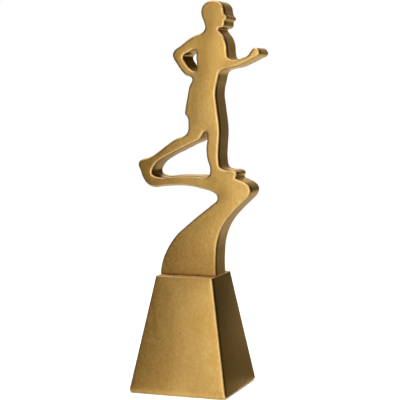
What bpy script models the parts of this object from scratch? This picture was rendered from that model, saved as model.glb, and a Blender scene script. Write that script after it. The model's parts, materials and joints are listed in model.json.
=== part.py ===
"""Figure trophy: a flat cast runner on an S-shaped path, bolted to a hollow tapered base.

The figure and its path are one thick plate with a rounded rim. A threaded rod runs from an
insert in the plate's foot down through the deck of the base. A nut under the deck clamps the
figure, two dowels stop it turning, and a second nut holds a ballast weight inside the base.
A screwed cover with a felt pad closes the bottom.

Metres, +Z up. The origin is the middle of the underside, the plate lies along X, and the
figure runs towards +X. Run with: blender --background --python part.py
"""

from itertools import product
from math import cos, pi, radians, sqrt

import bmesh
import bpy
from mathutils import Matrix

MM = 0.001
GAP = 0.3 * MM  # clearance between pieces that touch
PARTS_NAME = "figure_trophy"
CUTTERS_NAME = "cutters"
ORIGIN_NAME = "trophy_origin"

# ---- driving dimensions: base ----
BASE_HEIGHT = 85.7 * MM
BASE_FOOT_HALF = 37.8 * MM
BASE_TOP_HALF = 22 * MM
RIM_LIFT = 0.3 * MM  # the felt holds the rim of the base off the table
WALL = 4 * MM
DECK = 8 * MM
EDGE_ROUND = 2.4 * MM

# ---- driving dimensions: figure plate ----
PLATE_THICKNESS = 24.6 * MM
PLATE_RIM = 1.2 * MM  # radius of the rounded rim
PLATE_CURVE_STEPS = 3

# ---- fastening ----
ROD_RADIUS = 4 * MM
ROD_LOW = 16 * MM
ROD_HIGH = 101.5 * MM
ROD_CHAMFER = 0.8 * MM
NUT_ACROSS_FLATS = 13 * MM
NUT_HEIGHT = 6.5 * MM
NUT_CHAMFER_SLOPE = 0.6  # height over width of the chamfer on a nut's corners
FIGURE_INSERT_RADIUS = 5.6 * MM
FIGURE_INSERT_LENGTH = 16 * MM
FIGURE_INSERT_GRIP = 0.6 * MM  # how far the gripping bands stand out of the waist
DECK_WASHER_RADIUS = 8 * MM
DECK_WASHER_THICKNESS = 1.6 * MM
DOWEL_RADIUS = 2.5 * MM
DOWEL_OFFSET = 14 * MM
DOWEL_LENGTH = 13.5 * MM
DOWEL_IN_DECK = 5.7 * MM
DOWEL_CHAMFER = 0.5 * MM
DOWEL_PLACES = {"dowel_left": -DOWEL_OFFSET, "dowel_right": DOWEL_OFFSET}

# ---- shares of a length or a thickness ----
WASHER_EDGE = 1 / 6  # broken edge of a washer
SLEEVE_LEAD_IN = 0.93  # where the tapered lead-in of an insert starts
SLEEVE_UPPER_BAND = 0.6
SLEEVE_LOWER_BAND = 0.4

# ---- ballast ----
BALLAST_LOW = 30 * MM
BALLAST_CLEARANCE = 1 * MM
NUT_POCKET_RADIUS = 9.5 * MM
BALLAST_WASHER_RADIUS = 12 * MM
BALLAST_WASHER_THICKNESS = 1.8 * MM
LOCK_WASHER_RADIUS = 7.2 * MM
LOCK_WASHER_THICKNESS = 2 * MM
LOCK_WASHER_SLOT = 1 * MM

# ---- cover and felt ----
FELT_THICKNESS = 1.6 * MM
FELT_HALF = 32.4 * MM
COVER_THICKNESS = 3.3 * MM
COVER_HALF = 33.1 * MM
COVER_RECESS_HALF = COVER_HALF + 0.4 * MM
THIN_EDGE = 0.4 * MM  # broken edges of the cover and the felt
BOSS_OFFSET = 27.5 * MM
BOSS_RADIUS = 5.5 * MM
BOSS_HEIGHT = 12.5 * MM
COVER_INSERT_RADIUS = 2.6 * MM
COVER_INSERT_LENGTH = 9 * MM
COVER_INSERT_GRIP = 0.35 * MM
SCREW_RADIUS = 1.45 * MM
SCREW_HEAD_RADIUS = 2.9 * MM
SCREW_LENGTH = 10.5 * MM
SCREW_TIP = 0.4 * MM
SCREW_SOCKET_RADIUS = 1.2 * MM

# ---- heights that follow from the above ----
DECK_UNDERSIDE = BASE_HEIGHT - DECK
PLATE_FOOT = BASE_HEIGHT + GAP
COVER_LOW = FELT_THICKNESS + GAP
LEDGE = COVER_LOW + COVER_THICKNESS + GAP
DECK_WASHER_LOW = DECK_UNDERSIDE - GAP - DECK_WASHER_THICKNESS
DECK_NUT_LOW = DECK_WASHER_LOW - GAP - NUT_HEIGHT
BALLAST_HIGH = DECK_UNDERSIDE - GAP
BALLAST_WASHER_LOW = BALLAST_LOW - GAP - BALLAST_WASHER_THICKNESS
LOCK_WASHER_LOW = BALLAST_WASHER_LOW - GAP - LOCK_WASHER_THICKNESS
BALLAST_NUT_LOW = LOCK_WASHER_LOW - GAP - NUT_HEIGHT

TURNED_STEPS = 24
SMALL_STEPS = 16
HEXAGON = 6
BEVEL_ANGLE = radians(50)  # edges sharper than this are rounded
SMOOTH_ANGLE = radians(35)  # edges flatter than this are shaded smooth
WELD = 0.01 * MM
CUT_OVERRUN = 1 * MM  # how far a cutter passes the face it opens

# ---- outline of the figure plate: X from its middle and Z above its foot, in millimetres,
#      clockwise from the lower left ----
PATH_LEFT = [
    (-21.8, 0), (-21.1, 6.2), (-18.4, 15), (-10.5, 28.1), (-0.4, 37.5), (9.6, 45.8),
    (18.5, 52.9), (22, 56.1), (22.1, 59.2), (19.3, 61.7), (10, 64.5), (0, 66.2), (-10, 66.3),
    (-20, 65.4), (-27, 64.7), (-31.6, 66.3), (-35.8, 71), (-38.3, 77.3),
]
REAR_LEG = [
    (-39.7, 81.1), (-38.9, 83.8), (-36, 85.4), (-30, 87.1), (-25.2, 90), (-15.3, 97.3),
    (-9.2, 101.1), (-3.2, 103.3), (-0.8, 106), (-0.2, 111.2), (-1, 116.8),
]
BACK = [
    (-2.7, 119), (-2.6, 122.2), (-1.1, 130.7), (0.8, 139.7), (2.8, 144.4), (1.9, 146),
    (-1.9, 147.4),
]
REAR_ARM = [
    (-5.7, 151), (-9.1, 155.8), (-12.2, 161.4), (-11.8, 164.3), (-5.2, 169.7), (-0.2, 173.5),
    (4.8, 176.3), (11.2, 179),
]
HEAD_BACK = [
    (12.7, 181.5), (12, 185.7), (10.1, 190.7), (10, 195.2), (13.1, 199.8), (18.5, 201.5),
]
FACE = [
    (23.6, 200.2), (26.6, 196.9), (27.3, 193.3), (28.2, 190.9), (29.5, 189.3), (29.2, 187.7),
    (27.9, 186.7), (27.8, 185), (27.5, 183.2), (26, 181.8),
]
CHEST = [
    (23.3, 180.8), (24.4, 178.6), (27.2, 175), (29.1, 169.7), (29.7, 163.2),
]
FOREARM = [
    (31, 159.7), (35, 158.7), (40, 159.5), (45.3, 161.7), (48, 165.2), (50.7, 167.1),
    (53.4, 165.7), (54.2, 162.5), (50, 159.8), (43, 156.4), (36, 153.5), (28, 151.9),
]
FRONT_BODY = [
    (24.9, 150.5), (22.5, 143.7), (20.9, 134.2), (21.8, 125.7), (23.8, 110.7), (24, 104.7),
]
FRONT_LEG = [
    (23.4, 94.7), (23.4, 85.2), (24.9, 80), (29, 78.5), (35.5, 77.8), (37.4, 75.9), (36.6, 72.8),
]
PATH_RIGHT = [
    (40, 70.9), (44.5, 68.8), (47.7, 65.1), (46.9, 60.4), (43.1, 56.2), (35.1, 48.3),
    (28.9, 41), (25, 34), (22.2, 24.7), (21.2, 14.7), (21, 6.7), (21.2, 0),
]
OUTLINE = (
    PATH_LEFT + REAR_LEG + BACK + REAR_ARM + HEAD_BACK + FACE
    + CHEST + FOREARM + FRONT_BODY + FRONT_LEG + PATH_RIGHT
)
LEG_WINDOW = [
    (13.2, 106.3), (14.5, 101.7), (13.8, 94.7), (14.4, 87.2), (16.7, 77.2), (15.2, 74), (5, 73.6),
    (-10, 73.3), (-26, 72.8), (-28.6, 74.6), (-27, 80.5), (-20, 86.3), (-10, 91.4), (0, 96.4),
    (8.6, 100.6), (11, 104),
]
ARM_WINDOW = [
    (5, 165.7), (0, 164), (-3.9, 161.4), (-2, 156.3), (2.2, 151.7), (5.3, 150.7), (6.3, 153.3),
    (6, 159.7),
]
FLAT_FOOT_POINTS = (0, len(OUTLINE) - 1)  # the two ends of the straight foot


# ---- scene and materials ----
def clear_scene():
    for thing in list(bpy.data.objects):
        bpy.data.objects.remove(thing)


def new_collection(name):
    collection = bpy.data.collections.new(name)
    bpy.context.scene.collection.children.link(collection)
    return collection


def finish(name, colour, roughness, metallic=1.0):
    """A Principled material, metal unless told otherwise; colour is linear RGB."""
    material = bpy.data.materials.new(name)
    material.use_nodes = True
    shader = material.node_tree.nodes["Principled BSDF"]
    shader.inputs["Base Color"].default_value = (*colour, 1)
    shader.inputs["Roughness"].default_value = roughness
    shader.inputs["Metallic"].default_value = metallic
    return material


# ---- shapes ----
def add_mesh_object(name, fill, location=(0, 0, 0)):
    """An object whose mesh the function fill builds in a bmesh."""
    mesh = bpy.data.meshes.new(name)
    bm = bmesh.new()
    fill(bm)
    bm.to_mesh(mesh)
    bm.free()
    thing = bpy.data.objects.new(name, mesh)
    thing.location = location
    bpy.context.scene.collection.objects.link(thing)
    return thing


def frustum(name, low_half, high_half, z_low, z_high):
    """A square truncated pyramid whose sides face X and Y."""
    turn = Matrix.Rotation(pi / 4, 4, "Z")

    def fill(bm):
        bmesh.ops.create_cone(
            bm, cap_ends=True, segments=4, radius1=low_half * sqrt(2),
            radius2=high_half * sqrt(2), depth=z_high - z_low, matrix=turn,
        )

    return add_mesh_object(name, fill, (0, 0, (z_low + z_high) / 2))


def slab(name, half, z_low, z_high):
    """A square plate about the Z axis."""
    return frustum(name, half, half, z_low, z_high)


def rod(name, radius, z_low, z_high, x=0, y=0, sides=TURNED_STEPS):
    """An upright cylinder, or a prism with few sides."""

    def fill(bm):
        bmesh.ops.create_cone(
            bm, cap_ends=True, segments=sides, radius1=radius, radius2=radius,
            depth=z_high - z_low,
        )

    return add_mesh_object(name, fill, (x, y, (z_low + z_high) / 2))


def turned(name, profile, location, steps=TURNED_STEPS, closed=False):
    """A lathe shape from (radius, height) points that run down its outer side."""

    def fill(bm):
        points = [bm.verts.new((radius, 0, height)) for radius, height in profile]
        for upper, lower in zip(points, points[1:]):
            bm.edges.new((upper, lower))
        if closed:
            bm.edges.new((points[-1], points[0]))

    thing = add_mesh_object(name, fill, location)
    screw = thing.modifiers.new("Turn", "SCREW")
    screw.steps = steps
    screw.render_steps = steps
    screw.use_merge_vertices = True
    screw.merge_threshold = WELD
    return thing


def washer(name, outer, thickness, z_low):
    """A flat ring round the rod, with slightly broken outer edges."""
    inner = ROD_RADIUS + GAP
    edge = thickness * WASHER_EDGE
    profile = [
        (inner, thickness), (outer - edge, thickness), (outer, thickness - edge),
        (outer, edge), (outer - edge, 0), (inner, 0),
    ]
    return turned(name, profile, (0, 0, z_low), closed=True)


def gripping_sleeve(name, outer, bore, grip, length, location, steps):
    """A threaded insert: two gripping bands with a waist between them and a tapered lead-in."""
    waist = outer - grip
    upper_band = length * SLEEVE_UPPER_BAND
    lower_band = length * SLEEVE_LOWER_BAND
    profile = [
        (bore, length), (waist, length), (outer, length * SLEEVE_LEAD_IN), (outer, upper_band),
        (waist, upper_band - grip), (waist, lower_band + grip), (outer, lower_band),
        (outer, 0), (bore, 0),
    ]
    return turned(name, profile, location, steps, closed=True)


def chamfered_pin(name, radius, chamfer, z_low, z_high, x=0):
    """A plain upright pin with both ends chamfered."""
    length = z_high - z_low
    profile = [
        (0, length), (radius - chamfer, length), (radius, length - chamfer),
        (radius, chamfer), (radius - chamfer, 0), (0, 0),
    ]
    return turned(name, profile, (x, 0, z_low))


# ---- modifiers ----
def add_boolean(target, tool, operation):
    """Use another object as a hidden tool on the target."""
    move_to(tool, CUTTERS_NAME)
    tool.hide_render = True
    tool.display_type = "WIRE"
    boolean = target.modifiers.new(tool.name, "BOOLEAN")
    boolean.operation = operation
    boolean.solver = "EXACT"
    boolean.object = tool


def cut(target, tool):
    add_boolean(target, tool, "DIFFERENCE")


def round_edges(thing, width, segments=2):
    bevel = thing.modifiers.new("Round", "BEVEL")
    bevel.width = width
    bevel.segments = segments
    bevel.limit_method = "ANGLE"
    bevel.angle_limit = BEVEL_ANGLE


def move_to(thing, collection_name):
    for owner in list(thing.users_collection):
        owner.objects.unlink(thing)
    bpy.data.collections[collection_name].objects.link(thing)


def finish_piece(thing, material):
    """Give a finished piece its material, its shading and its place in the trophy."""
    thing.data.materials.append(material)
    if thing.data.polygons:
        thing.data.shade_smooth()
        thing.data.set_sharp_from_angle(angle=SMOOTH_ANGLE)
    move_to(thing, PARTS_NAME)
    thing.parent = bpy.data.objects[ORIGIN_NAME]


# ---- figure plate and its fastening ----
def add_loop(curve, points, flat=()):
    """A closed smooth spline; the points numbered in flat keep straight handles."""
    spline = curve.splines.new("BEZIER")
    spline.bezier_points.add(len(points) - 1)
    spline.use_cyclic_u = True
    for number, (point, (x, z)) in enumerate(zip(spline.bezier_points, points)):
        handle = "VECTOR" if number in flat else "AUTO"
        point.co = (x * MM, z * MM, 0)
        point.handle_left_type = handle
        point.handle_right_type = handle


def plate_blank():
    """The plate with its windows and rounded rim, as a closed mesh standing along X."""
    curve = bpy.data.curves.new("plate_outline", "CURVE")
    curve.dimensions = "2D"
    curve.fill_mode = "BOTH"
    curve.resolution_u = PLATE_CURVE_STEPS
    curve.extrude = PLATE_THICKNESS / 2 - PLATE_RIM
    curve.bevel_depth = PLATE_RIM
    curve.bevel_resolution = 1
    curve.offset = -PLATE_RIM
    add_loop(curve, OUTLINE, FLAT_FOOT_POINTS)
    add_loop(curve, LEG_WINDOW)
    add_loop(curve, ARM_WINDOW)
    outline = bpy.data.objects.new("plate_outline", curve)
    outline.location = (0, 0, PLATE_FOOT)
    outline.rotation_euler = (pi / 2, 0, 0)
    bpy.context.scene.collection.objects.link(outline)

    view_layer = bpy.context.view_layer
    view_layer.update()
    evaluated = outline.evaluated_get(view_layer.depsgraph)
    mesh = bpy.data.meshes.new_from_object(evaluated)
    bm = bmesh.new()
    bm.from_mesh(mesh)
    bmesh.ops.remove_doubles(bm, verts=bm.verts, dist=WELD)
    bm.to_mesh(mesh)
    bm.free()
    plate = bpy.data.objects.new("figure_plate", mesh)
    plate.matrix_world = outline.matrix_world
    bpy.context.scene.collection.objects.link(plate)
    bpy.data.objects.remove(outline)
    return plate


def build_figure_plate(brass):
    """The casting, with a blind pocket for the insert and two blind dowel holes in its foot."""
    plate = plate_blank()
    pocket_top = PLATE_FOOT + GAP + FIGURE_INSERT_LENGTH + GAP
    pocket = rod(
        "insert_pocket", FIGURE_INSERT_RADIUS + GAP, PLATE_FOOT - CUT_OVERRUN, pocket_top
    )
    cut(plate, pocket)
    hole_top = BASE_HEIGHT - DOWEL_IN_DECK + DOWEL_LENGTH + GAP
    for name, x in DOWEL_PLACES.items():
        hole = rod(
            name + "_plate_hole", DOWEL_RADIUS + GAP, PLATE_FOOT - CUT_OVERRUN, hole_top, x,
            sides=SMALL_STEPS,
        )
        cut(plate, hole)
    finish_piece(plate, brass)


def build_figure_insert(brass):
    insert = gripping_sleeve(
        "figure_insert", FIGURE_INSERT_RADIUS, ROD_RADIUS + GAP, FIGURE_INSERT_GRIP,
        FIGURE_INSERT_LENGTH, (0, 0, PLATE_FOOT + GAP), TURNED_STEPS,
    )
    finish_piece(insert, brass)


def build_dowels(steel):
    z_low = BASE_HEIGHT - DOWEL_IN_DECK
    for name, x in DOWEL_PLACES.items():
        dowel = chamfered_pin(
            name, DOWEL_RADIUS, DOWEL_CHAMFER, z_low, z_low + DOWEL_LENGTH, x
        )
        finish_piece(dowel, steel)


def build_nut(name, z_low, steel):
    """A hexagon nut with chamfered corners."""
    corner = NUT_ACROSS_FLATS / 2 / cos(pi / 6)
    face = NUT_ACROSS_FLATS / 2
    rise = (corner - face) * NUT_CHAMFER_SLOPE
    nut = rod(name, corner, z_low, z_low + NUT_HEIGHT, sides=HEXAGON)
    profile = [
        (0, NUT_HEIGHT), (face, NUT_HEIGHT), (corner, NUT_HEIGHT - rise),
        (corner, rise), (face, 0), (0, 0),
    ]
    add_boolean(nut, turned(name + "_chamfer", profile, (0, 0, z_low)), "INTERSECT")
    bore = rod(
        name + "_bore", ROD_RADIUS + GAP, z_low - CUT_OVERRUN, z_low + NUT_HEIGHT + CUT_OVERRUN
    )
    cut(nut, bore)
    finish_piece(nut, steel)


def build_lock_washer(steel):
    """A ring split by a narrow slot on its +X side."""
    ring = washer(
        "ballast_lock_washer", LOCK_WASHER_RADIUS, LOCK_WASHER_THICKNESS, LOCK_WASHER_LOW
    )
    slot = slab("lock_slot", LOCK_WASHER_SLOT / 2, 0, LOCK_WASHER_THICKNESS + 2 * CUT_OVERRUN)
    slot.scale.x = LOCK_WASHER_RADIUS / LOCK_WASHER_SLOT
    slot.location = (LOCK_WASHER_RADIUS, 0, LOCK_WASHER_LOW + LOCK_WASHER_THICKNESS / 2)
    cut(ring, slot)
    finish_piece(ring, steel)


def build_fastening(steel):
    """The rod and the two stacks of hardware on it."""
    finish_piece(chamfered_pin("threaded_rod", ROD_RADIUS, ROD_CHAMFER, ROD_LOW, ROD_HIGH), steel)
    deck_washer = washer(
        "deck_washer", DECK_WASHER_RADIUS, DECK_WASHER_THICKNESS, DECK_WASHER_LOW
    )
    finish_piece(deck_washer, steel)
    build_nut("deck_nut", DECK_NUT_LOW, steel)
    ballast_washer = washer(
        "ballast_washer", BALLAST_WASHER_RADIUS, BALLAST_WASHER_THICKNESS, BALLAST_WASHER_LOW
    )
    finish_piece(ballast_washer, steel)
    build_lock_washer(steel)
    build_nut("ballast_nut", BALLAST_NUT_LOW, steel)


# ---- base ----
def base_half(z):
    """Half the width of the base at a height."""
    return BASE_FOOT_HALF + (BASE_TOP_HALF - BASE_FOOT_HALF) * z / BASE_HEIGHT


def screw_places():
    """Number, X and Y of the four cover screws."""
    for number, (side_x, side_y) in enumerate(product((-1, 1), repeat=2), start=1):
        yield number, side_x * BOSS_OFFSET, side_y * BOSS_OFFSET


def base_cavity():
    """The tapered hollow of the base, which leaves four screw bosses standing."""
    cavity = frustum(
        "base_cavity", base_half(LEDGE) - WALL, base_half(DECK_UNDERSIDE) - WALL,
        LEDGE, DECK_UNDERSIDE,
    )
    for number, x, y in screw_places():
        boss = rod(
            f"boss_{number}", BOSS_RADIUS, LEDGE - CUT_OVERRUN, LEDGE + BOSS_HEIGHT, x, y
        )
        cut(cavity, boss)
    return cavity


def build_base_shell(brass):
    """The hollow tapered casting with a thick deck and a recess for the cover."""
    shell = frustum("base_shell", base_half(RIM_LIFT), BASE_TOP_HALF, RIM_LIFT, BASE_HEIGHT)
    round_edges(shell, EDGE_ROUND, segments=3)
    cut(shell, base_cavity())
    cut(shell, slab("cover_recess", COVER_RECESS_HALF, -CUT_OVERRUN, LEDGE))
    rod_hole = rod(
        "rod_hole", ROD_RADIUS + 2 * GAP, DECK_UNDERSIDE - CUT_OVERRUN, BASE_HEIGHT + CUT_OVERRUN
    )
    cut(shell, rod_hole)
    dowel_floor = BASE_HEIGHT - DOWEL_IN_DECK - GAP
    for name, x in DOWEL_PLACES.items():
        hole = rod(
            name + "_deck_hole", DOWEL_RADIUS + GAP, dowel_floor, BASE_HEIGHT + CUT_OVERRUN, x,
            sides=SMALL_STEPS,
        )
        cut(shell, hole)
    insert_ceiling = LEDGE + COVER_INSERT_LENGTH + 2 * GAP
    for number, x, y in screw_places():
        hole = rod(
            f"boss_hole_{number}", COVER_INSERT_RADIUS + GAP, LEDGE - CUT_OVERRUN,
            insert_ceiling, x, y, SMALL_STEPS,
        )
        cut(shell, hole)
    finish_piece(shell, brass)


def build_ballast(iron):
    """A tapered block that follows the inside of the base and clears the deck nut."""
    low_half = base_half(BALLAST_LOW) - WALL - BALLAST_CLEARANCE
    high_half = base_half(BALLAST_HIGH) - WALL - BALLAST_CLEARANCE
    ballast = frustum("ballast_weight", low_half, high_half, BALLAST_LOW, BALLAST_HIGH)
    round_edges(ballast, EDGE_ROUND)
    bore = rod(
        "ballast_bore", ROD_RADIUS + 2 * GAP, BALLAST_LOW - CUT_OVERRUN, BALLAST_HIGH + CUT_OVERRUN
    )
    cut(ballast, bore)
    pocket = rod("nut_pocket", NUT_POCKET_RADIUS, DECK_NUT_LOW - GAP, BALLAST_HIGH + CUT_OVERRUN)
    cut(ballast, pocket)
    finish_piece(ballast, iron)


# ---- cover ----
def build_cover(steel):
    """A square plate with four countersunk holes."""
    cover = slab("bottom_cover", COVER_HALF, COVER_LOW, COVER_LOW + COVER_THICKNESS)
    round_edges(cover, THIN_EDGE, segments=1)
    wide = SCREW_HEAD_RADIUS + GAP
    narrow = SCREW_RADIUS + GAP
    slope = wide - narrow
    profile = [
        (0, COVER_THICKNESS + CUT_OVERRUN), (narrow, COVER_THICKNESS + CUT_OVERRUN),
        (narrow, slope), (wide, 0), (wide, -CUT_OVERRUN), (0, -CUT_OVERRUN),
    ]
    for number, x, y in screw_places():
        cut(cover, turned(f"countersink_{number}", profile, (x, y, COVER_LOW), SMALL_STEPS))
    finish_piece(cover, steel)


def build_cover_screws(steel):
    """Countersunk screws with a hexagon socket, put in from below."""
    head = SCREW_HEAD_RADIUS - SCREW_RADIUS
    z_low = COVER_LOW + GAP / 2
    profile = [
        (0, SCREW_LENGTH), (SCREW_RADIUS - SCREW_TIP, SCREW_LENGTH),
        (SCREW_RADIUS, SCREW_LENGTH - SCREW_TIP), (SCREW_RADIUS, head),
        (SCREW_HEAD_RADIUS, 0), (0, 0),
    ]
    for number, x, y in screw_places():
        screw = turned(f"cover_screw_{number}", profile, (x, y, z_low), SMALL_STEPS)
        socket = rod(
            f"socket_{number}", SCREW_SOCKET_RADIUS, z_low - CUT_OVERRUN, z_low + head, x, y,
            HEXAGON,
        )
        cut(screw, socket)
        finish_piece(screw, steel)


def build_cover_inserts(brass):
    for number, x, y in screw_places():
        insert = gripping_sleeve(
            f"cover_insert_{number}", COVER_INSERT_RADIUS, SCREW_RADIUS + GAP,
            COVER_INSERT_GRIP, COVER_INSERT_LENGTH, (x, y, LEDGE + GAP), SMALL_STEPS,
        )
        finish_piece(insert, brass)


def build_felt_pad(felt):
    pad = slab("felt_pad", FELT_HALF, 0, FELT_THICKNESS)
    round_edges(pad, THIN_EDGE, segments=1)
    finish_piece(pad, felt)


def build_trophy():
    antique_brass = finish("antique_brass", (0.45, 0.27, 0.085), 0.36)
    plain_brass = finish("plain_brass", (0.60, 0.42, 0.16), 0.3)
    zinc_steel = finish("zinc_steel", (0.55, 0.56, 0.56), 0.35)
    cast_iron = finish("cast_iron", (0.09, 0.09, 0.09), 0.7, 0.7)
    black_felt = finish("black_felt", (0.012, 0.012, 0.013), 0.95, 0.0)

    build_figure_plate(antique_brass)
    build_figure_insert(plain_brass)
    build_dowels(zinc_steel)
    build_fastening(zinc_steel)
    build_base_shell(antique_brass)
    build_ballast(cast_iron)
    build_cover(zinc_steel)
    build_cover_screws(zinc_steel)
    build_cover_inserts(plain_brass)
    build_felt_pad(black_felt)


clear_scene()
new_collection(CUTTERS_NAME)
new_collection(PARTS_NAME).objects.link(bpy.data.objects.new(ORIGIN_NAME, None))
build_trophy()
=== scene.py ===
"""Looks of the figure trophy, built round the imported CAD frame.

The plate and the base get fine meshes whose outlines, heights and holes come from the CAD
nodes. The other nodes keep their meshes. Every node gets a procedural material. All lengths
are metres in the frame's own axes: +Z up, +X along the plate, -Y out of its front face.
"""

import json
from math import cos, pi, radians, sin, sqrt

import bmesh
import bpy
import numpy as np
from mathutils import Matrix, Vector
from mathutils.geometry import delaunay_2d_cdt
from mathutils.kdtree import KDTree


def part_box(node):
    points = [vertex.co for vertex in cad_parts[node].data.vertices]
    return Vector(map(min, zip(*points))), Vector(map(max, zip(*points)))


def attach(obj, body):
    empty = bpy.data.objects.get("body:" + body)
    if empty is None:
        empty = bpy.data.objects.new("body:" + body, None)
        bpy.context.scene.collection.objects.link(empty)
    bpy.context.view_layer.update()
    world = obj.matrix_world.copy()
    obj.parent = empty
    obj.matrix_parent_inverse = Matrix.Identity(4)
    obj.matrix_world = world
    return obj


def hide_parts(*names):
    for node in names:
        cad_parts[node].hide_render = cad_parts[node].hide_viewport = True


MM = 0.001

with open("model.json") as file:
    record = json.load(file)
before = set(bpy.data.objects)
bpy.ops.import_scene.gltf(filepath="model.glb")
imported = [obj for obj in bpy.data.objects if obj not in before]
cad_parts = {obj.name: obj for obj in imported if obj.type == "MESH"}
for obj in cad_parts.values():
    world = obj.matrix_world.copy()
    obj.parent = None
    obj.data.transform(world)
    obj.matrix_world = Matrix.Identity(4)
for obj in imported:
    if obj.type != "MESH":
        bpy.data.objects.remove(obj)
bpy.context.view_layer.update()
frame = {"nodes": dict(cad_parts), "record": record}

# ---- tolerances ----
WELD = 0.01 * MM  # CAD points nearer than this to each other are one point
PLANE_TOLERANCE = 0.02 * MM  # CAD points nearer than this to a plane lie in it
LEVEL_TOLERANCE = 0.01 * MM  # points whose heights differ by less are level
TINY = 1e-7  # metres, below which a distance counts as none
SMOOTH_ANGLE = radians(40)  # edges flatter than this are shaded smooth

# ---- fine plate ----
OUTLINE_STEP = 0.5 * MM
CURVE_STEPS = 12  # points on each CAD edge before they are spaced evenly
STRAIGHT_RUN = 8 * MM  # a longer CAD edge is a real straight, not a chord of a curve
CORNER_COSINE = 0.5  # a sharper turn between two CAD edges is a real corner
RIM_RADIUS = 1.7 * MM
RIM_STEPS = 9
CORNER_SHARE = 0.8  # how near to the middle of a narrow tip the rim may reach
CROWN = 0.32 * MM  # the faces are polished slightly round, so they drop this far at the rim
CROWN_REACH = 3.0 * MM
CROWN_SPACING = 1.3 * MM
CROWN_SMOOTHINGS = 25
WALL_ROWS = [0.6 * MM, 1.5 * MM, 3 * MM, 5 * MM, 8 * MM]  # behind each rim
FOOT_SHARE = 0.2  # the foot was ground flat, so its rim keeps this share of the radius
FOOT_FADE = (0.5 * MM, 24 * MM)  # heights above the foot over which the rim grows to full size
CAD_RIM_LEAST = 1 * MM  # the CAD plate's rim is deeper than this
FOOT_ZONE = 30 * MM  # above the foot and below the top, where the CAD rim isn't looked for
TOP_ZONE = 5 * MM
CLEARANCE = 0.3 * MM  # between a pin and its hole
HOLE_STEPS = 32

# ---- fine base ----
SIDE_STEPS = 40
CORNER_STEPS = 8
HEIGHT_STEPS = 40
BASE_EDGE = 1.6 * MM  # radius of the upright edges
BASE_FOOT_ROUND = 2.2 * MM
BASE_TOP_ROUND = 0.4 * MM
ROUND_STEPS = 7
BASE_BULGE = 0.7 * MM  # how far the middle of each face swells
OUTER_SKIN = 3 * MM  # CAD faces nearer than this to the outside are remade finer
SIDEWAYS = 0.9  # a normal with a larger X belongs to a side face

# ---- where the metal is worn, dark with patina, and painted with highlight and shade: stops of (place, amount) ----
# Places behind the plate's face, as shares of the rim's radius.
# Pale worn rims, partly a painted highlight.
RIM_WEAR_SHEEN = [(0.02, 0.0), (0.12, 1.0), (0.5, 1.0), (0.8, 0.0)]
# Near-black painted shade: a dark line behind the front rim, and on the rear elbow's rim.
RIM_SHADE = [(0.65, 0.0), (0.9, 1.0), (1.9, 1.0), (2.9, 0.0)]
ELBOW_SHADE = [(0.1, 0.0), (0.3, 0.8)]
# Patina on the walls, partly painted shade.
WALL_PATINA_SHADE = [(0.8, 0.0), (1.1, 1.0)]
WALL_START = 0.8  # from here on back a vertex counts as on the wall
WALL_PATINA_SHADE_BACK = 0.55  # share of the walls' patina and painted shade that is left at the back of the plate
# Heights on the plate.
# Patina and painted shade on the walls, darker lower down.
PATINA_SHADE_HEIGHTS = [(105 * MM, 1.0), (180 * MM, 0.65), (235 * MM, 0.25)]
WINDOW_SHADE = [(200 * MM, 0.4), (230 * MM, 0.9)]  # painted shade on the window walls, most of all the arm's window
# Broad painted shade, darker low down and at the upper rear.
LOW_SHADE = [(100 * MM, 0.5), (140 * MM, 0.0)]
REAR_SHADE = [(205 * MM, 0.85), (240 * MM, 0.15)]
ELBOW_HEIGHTS = [(222 * MM, 0.0), (232 * MM, 1.0), (256 * MM, 1.0), (266 * MM, 0.0)]
# Places in X.
# Where the broad painted shade darkens towards the rear.
TOWARDS_REAR = [(-38 * MM, 1.0), (1 * MM, 0.0)]
ELBOW_SIDE = [(-10 * MM, 1.0), (-2 * MM, 0.0)]
# Broad painted shade at the rear elbow.
ELBOW_BROAD_SHADE = 0.5
WINDOW_REACH = 0.1 * MM  # a vertex nearer than this to a window's outline is on its wall
# Places off the base's upright edges, as shares of their radius.
# Pale worn upright edges, partly a painted highlight.
EDGE_WEAR_SHEEN = [(0.3, 1.0), (0.8, 0.0)]
# Near-black painted shade on the side faces, just behind the front edges.
EDGE_SHADE = [(0.45, 0.0), (0.8, 1.0), (1.7, 0.9), (3.0, 0.0)]
# Patina on the side faces, partly painted shade.
SIDE_PATINA_SHADE = [(0.7, 0.0), (1.2, 1.0)]
SIDE_PATINA_SHADE_DEPTHS = [(-30 * MM, 1.0), (30 * MM, 0.75)]  # places in Y: the patina and painted shade are darker towards the front
DECK_WEAR_SHEEN = [(0.3 * BASE_TOP_ROUND, 1.0), (BASE_TOP_ROUND, 0.0)]  # depths below the deck: a pale worn edge, partly a painted highlight
# Broad painted shade on the base, darker towards the rear.
BASE_SHADE = 0.95

# ---- antique brass ----
# Each noise pattern: stretch along X, Y and Z, then scale, detail and roughness.
BRASS_PATTERNS = {
    "lines": ((1.0, 1.0, 0.03), 1500, 3, 0.6),
    "broad_lines": ((1.0, 1.0, 0.07), 420, 3, 0.55),
    "patches": ((1.0, 1.0, 0.6), 48, 4, 0.6),
    "mottle": ((1.0, 1.0, 1.0), 260, 3, 0.6),
    "grain": ((1.0, 1.0, 0.55), 950, 3, 0.65),
}
BRASS_GROUND = (0.50, 0.300, 0.080)
# Colours over the ground: pattern, values where it starts and is full, largest share, colour.
BRASS_LAYERS = [
    ("patches", 0.32, 0.68, 1.0, (0.58, 0.375, 0.118)),
    ("broad_lines", 0.3, 0.7, 0.35, (0.41, 0.245, 0.070)),
    ("lines", 0.35, 0.7, 0.3, (0.62, 0.42, 0.17)),
    ("mottle", 0.45, 0.8, 0.25, (0.39, 0.225, 0.058)),
    ("grain", 0.35, 0.65, 0.45, (0.36, 0.205, 0.050)),
]
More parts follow.
